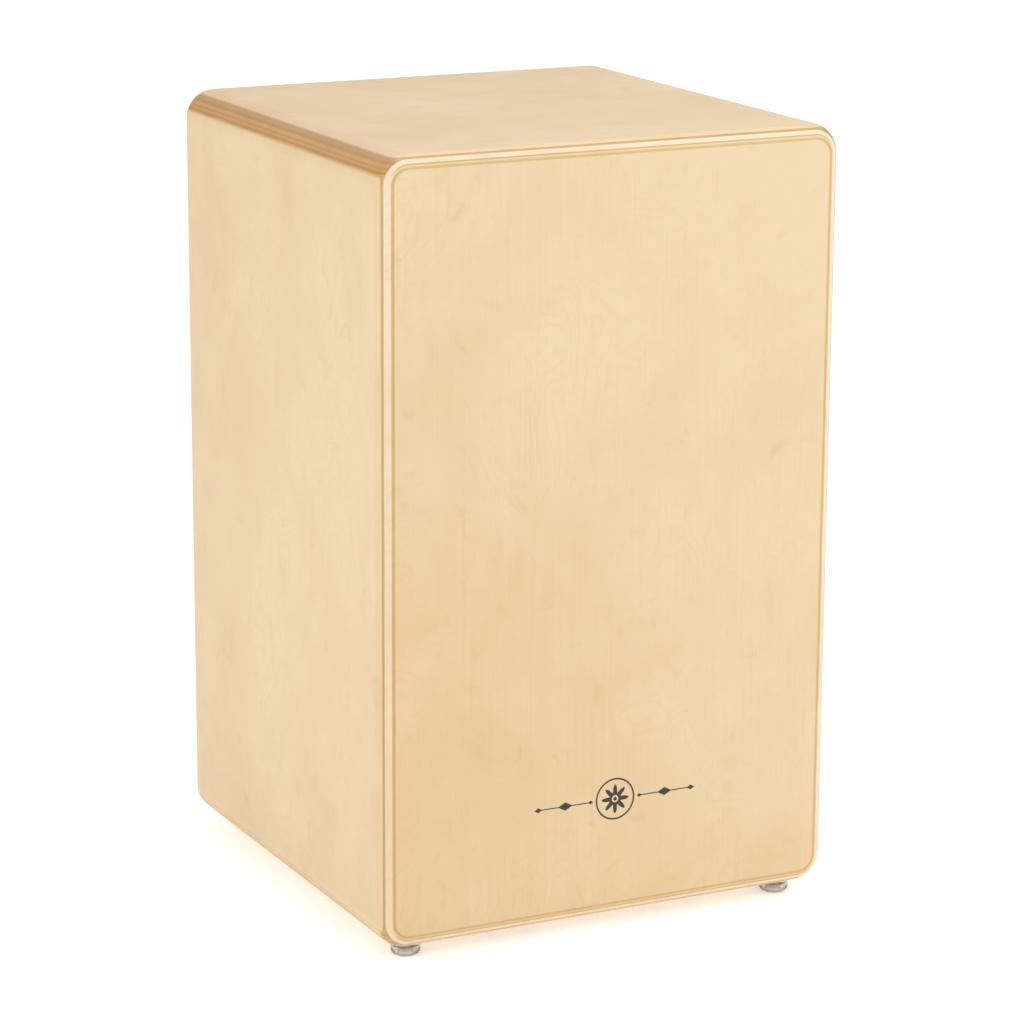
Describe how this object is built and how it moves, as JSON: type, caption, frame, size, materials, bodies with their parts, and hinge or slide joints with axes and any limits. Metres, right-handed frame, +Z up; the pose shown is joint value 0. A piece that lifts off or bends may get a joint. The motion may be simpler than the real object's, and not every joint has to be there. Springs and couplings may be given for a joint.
{
  "type": "cajon",
  "caption": "Box drum to sit on: birch plywood body with a thin front plate to strike, a round sound hole in the back and key-tuned strings inside.",
  "frame": {"origin": "on the floor, under the middle of the box", "axes": "+Z up, -Y towards the front plate that the player strikes, +X to the right of someone facing that plate"},
  "size_m": [0.3, 0.295, 0.48],
  "materials": {
    "birch_plywood": "clear lacquered birch plywood",
    "birch_front_plate": "clear lacquered birch veneer",
    "spruce_batten": "planed bare spruce",
    "beech_bar": "planed beech",
    "rosewood_bridge": "oiled rosewood",
    "clear_rubber": "translucent moulded rubber",
    "black_steel": "black oxide",
    "zinc_steel": "bright zinc plated",
    "brass": "machined",
    "wound_string": "silver-plated winding"
  },
  "bodies": {
    "box": {"anchor_bar": "beech_bar", "anchor_bar_cleat_left": "spruce_batten", "anchor_bar_cleat_right": "spruce_batten", "anchor_bar_screws": "zinc_steel", "anchor_plate": "zinc_steel", "anchor_plate_screws": "zinc_steel", "back_batten_bottom": "spruce_batten", "back_batten_left": "spruce_batten", "back_batten_right": "spruce_batten", "back_batten_top": "spruce_batten", "back_panel": "birch_plywood", "base_panel": "birch_plywood", "corner_block_bottom_left": "spruce_batten", "corner_block_bottom_right": "spruce_batten", "corner_block_top_left": "spruce_batten", "corner_block_top_right": "spruce_batten", "foot_back_left": "clear_rubber", "foot_back_right": "clear_rubber", "foot_front_left": "clear_rubber", "foot_front_right": "clear_rubber", "foot_screws": "zinc_steel", "foot_washers": "zinc_steel", "front_batten_bottom": "spruce_batten", "front_batten_left": "spruce_batten", "front_batten_right": "spruce_batten", "front_batten_top": "spruce_batten", "front_plate": "birch_front_plate", "left_side_panel": "birch_plywood", "right_side_panel": "birch_plywood", "seat_panel": "birch_plywood", "string_ball_ends": "brass", "string_bridge": "rosewood_bridge", "tension_rail": "beech_bar", "tension_rail_cleat_left": "spruce_batten", "tension_rail_cleat_right": "spruce_batten", "tension_rail_screws": "zinc_steel", "thrust_washers": "zinc_steel"},
    "tuner_1": {"tuning_screw_1": "black_steel"},
    "carriage_1": {"string_carriage_1": "brass", "string_clamp_screw_1": "black_steel", "string_1": "wound_string"},
    "tuner_2": {"tuning_screw_2": "black_steel"},
    "carriage_2": {"string_carriage_2": "brass", "string_clamp_screw_2": "black_steel", "string_2": "wound_string"},
    "tuner_3": {"tuning_screw_3": "black_steel"},
    "carriage_3": {"string_carriage_3": "brass", "string_clamp_screw_3": "black_steel", "string_3": "wound_string"},
    "tuner_4": {"tuning_screw_4": "black_steel"},
    "carriage_4": {"string_carriage_4": "brass", "string_clamp_screw_4": "black_steel", "string_4": "wound_string"}
  },
  "joints": [
    {"name": "tuner_1_turn", "type": "hinge", "parent": "box", "child": "tuner_1", "pos_m": [-0.067, -0.1275, 0.059], "axis": [0, 0, 1], "range_deg": [-1801, 1801]},
    {"name": "carriage_1_travel", "type": "slide", "parent": "box", "child": "carriage_1", "axis": [0, 0, -1], "range_m": [-0.004, 0.004], "deforming": ["string_1"]},
    {"name": "tuner_2_turn", "type": "hinge", "parent": "box", "child": "tuner_2", "pos_m": [-0.043, -0.1275, 0.059], "axis": [0, 0, 1], "range_deg": [-1801, 1801]},
    {"name": "carriage_2_travel", "type": "slide", "parent": "box", "child": "carriage_2", "axis": [0, 0, -1], "range_m": [-0.004, 0.004], "deforming": ["string_2"]},
    {"name": "tuner_3_turn", "type": "hinge", "parent": "box", "child": "tuner_3", "pos_m": [0.043, -0.1275, 0.059], "axis": [0, 0, 1], "range_deg": [-1801, 1801]},
    {"name": "carriage_3_travel", "type": "slide", "parent": "box", "child": "carriage_3", "axis": [0, 0, -1], "range_m": [-0.004, 0.004], "deforming": ["string_3"]},
    {"name": "tuner_4_turn", "type": "hinge", "parent": "box", "child": "tuner_4", "pos_m": [0.067, -0.1275, 0.059], "axis": [0, 0, 1], "range_deg": [-1801, 1801]},
    {"name": "carriage_4_travel", "type": "slide", "parent": "box", "child": "carriage_4", "axis": [0, 0, -1], "range_m": [-0.004, 0.004], "deforming": ["string_4"]}
  ],
  "couplings": [
    {"joint": "tuner_1_turn", "follows": "carriage_1_travel", "rad_per_m": 7854},
    {"joint": "tuner_2_turn", "follows": "carriage_2_travel", "rad_per_m": 7854},
    {"joint": "tuner_3_turn", "follows": "carriage_3_travel", "rad_per_m": 7854},
    {"joint": "tuner_4_turn", "follows": "carriage_4_travel", "rad_per_m": 7854}
  ]
}
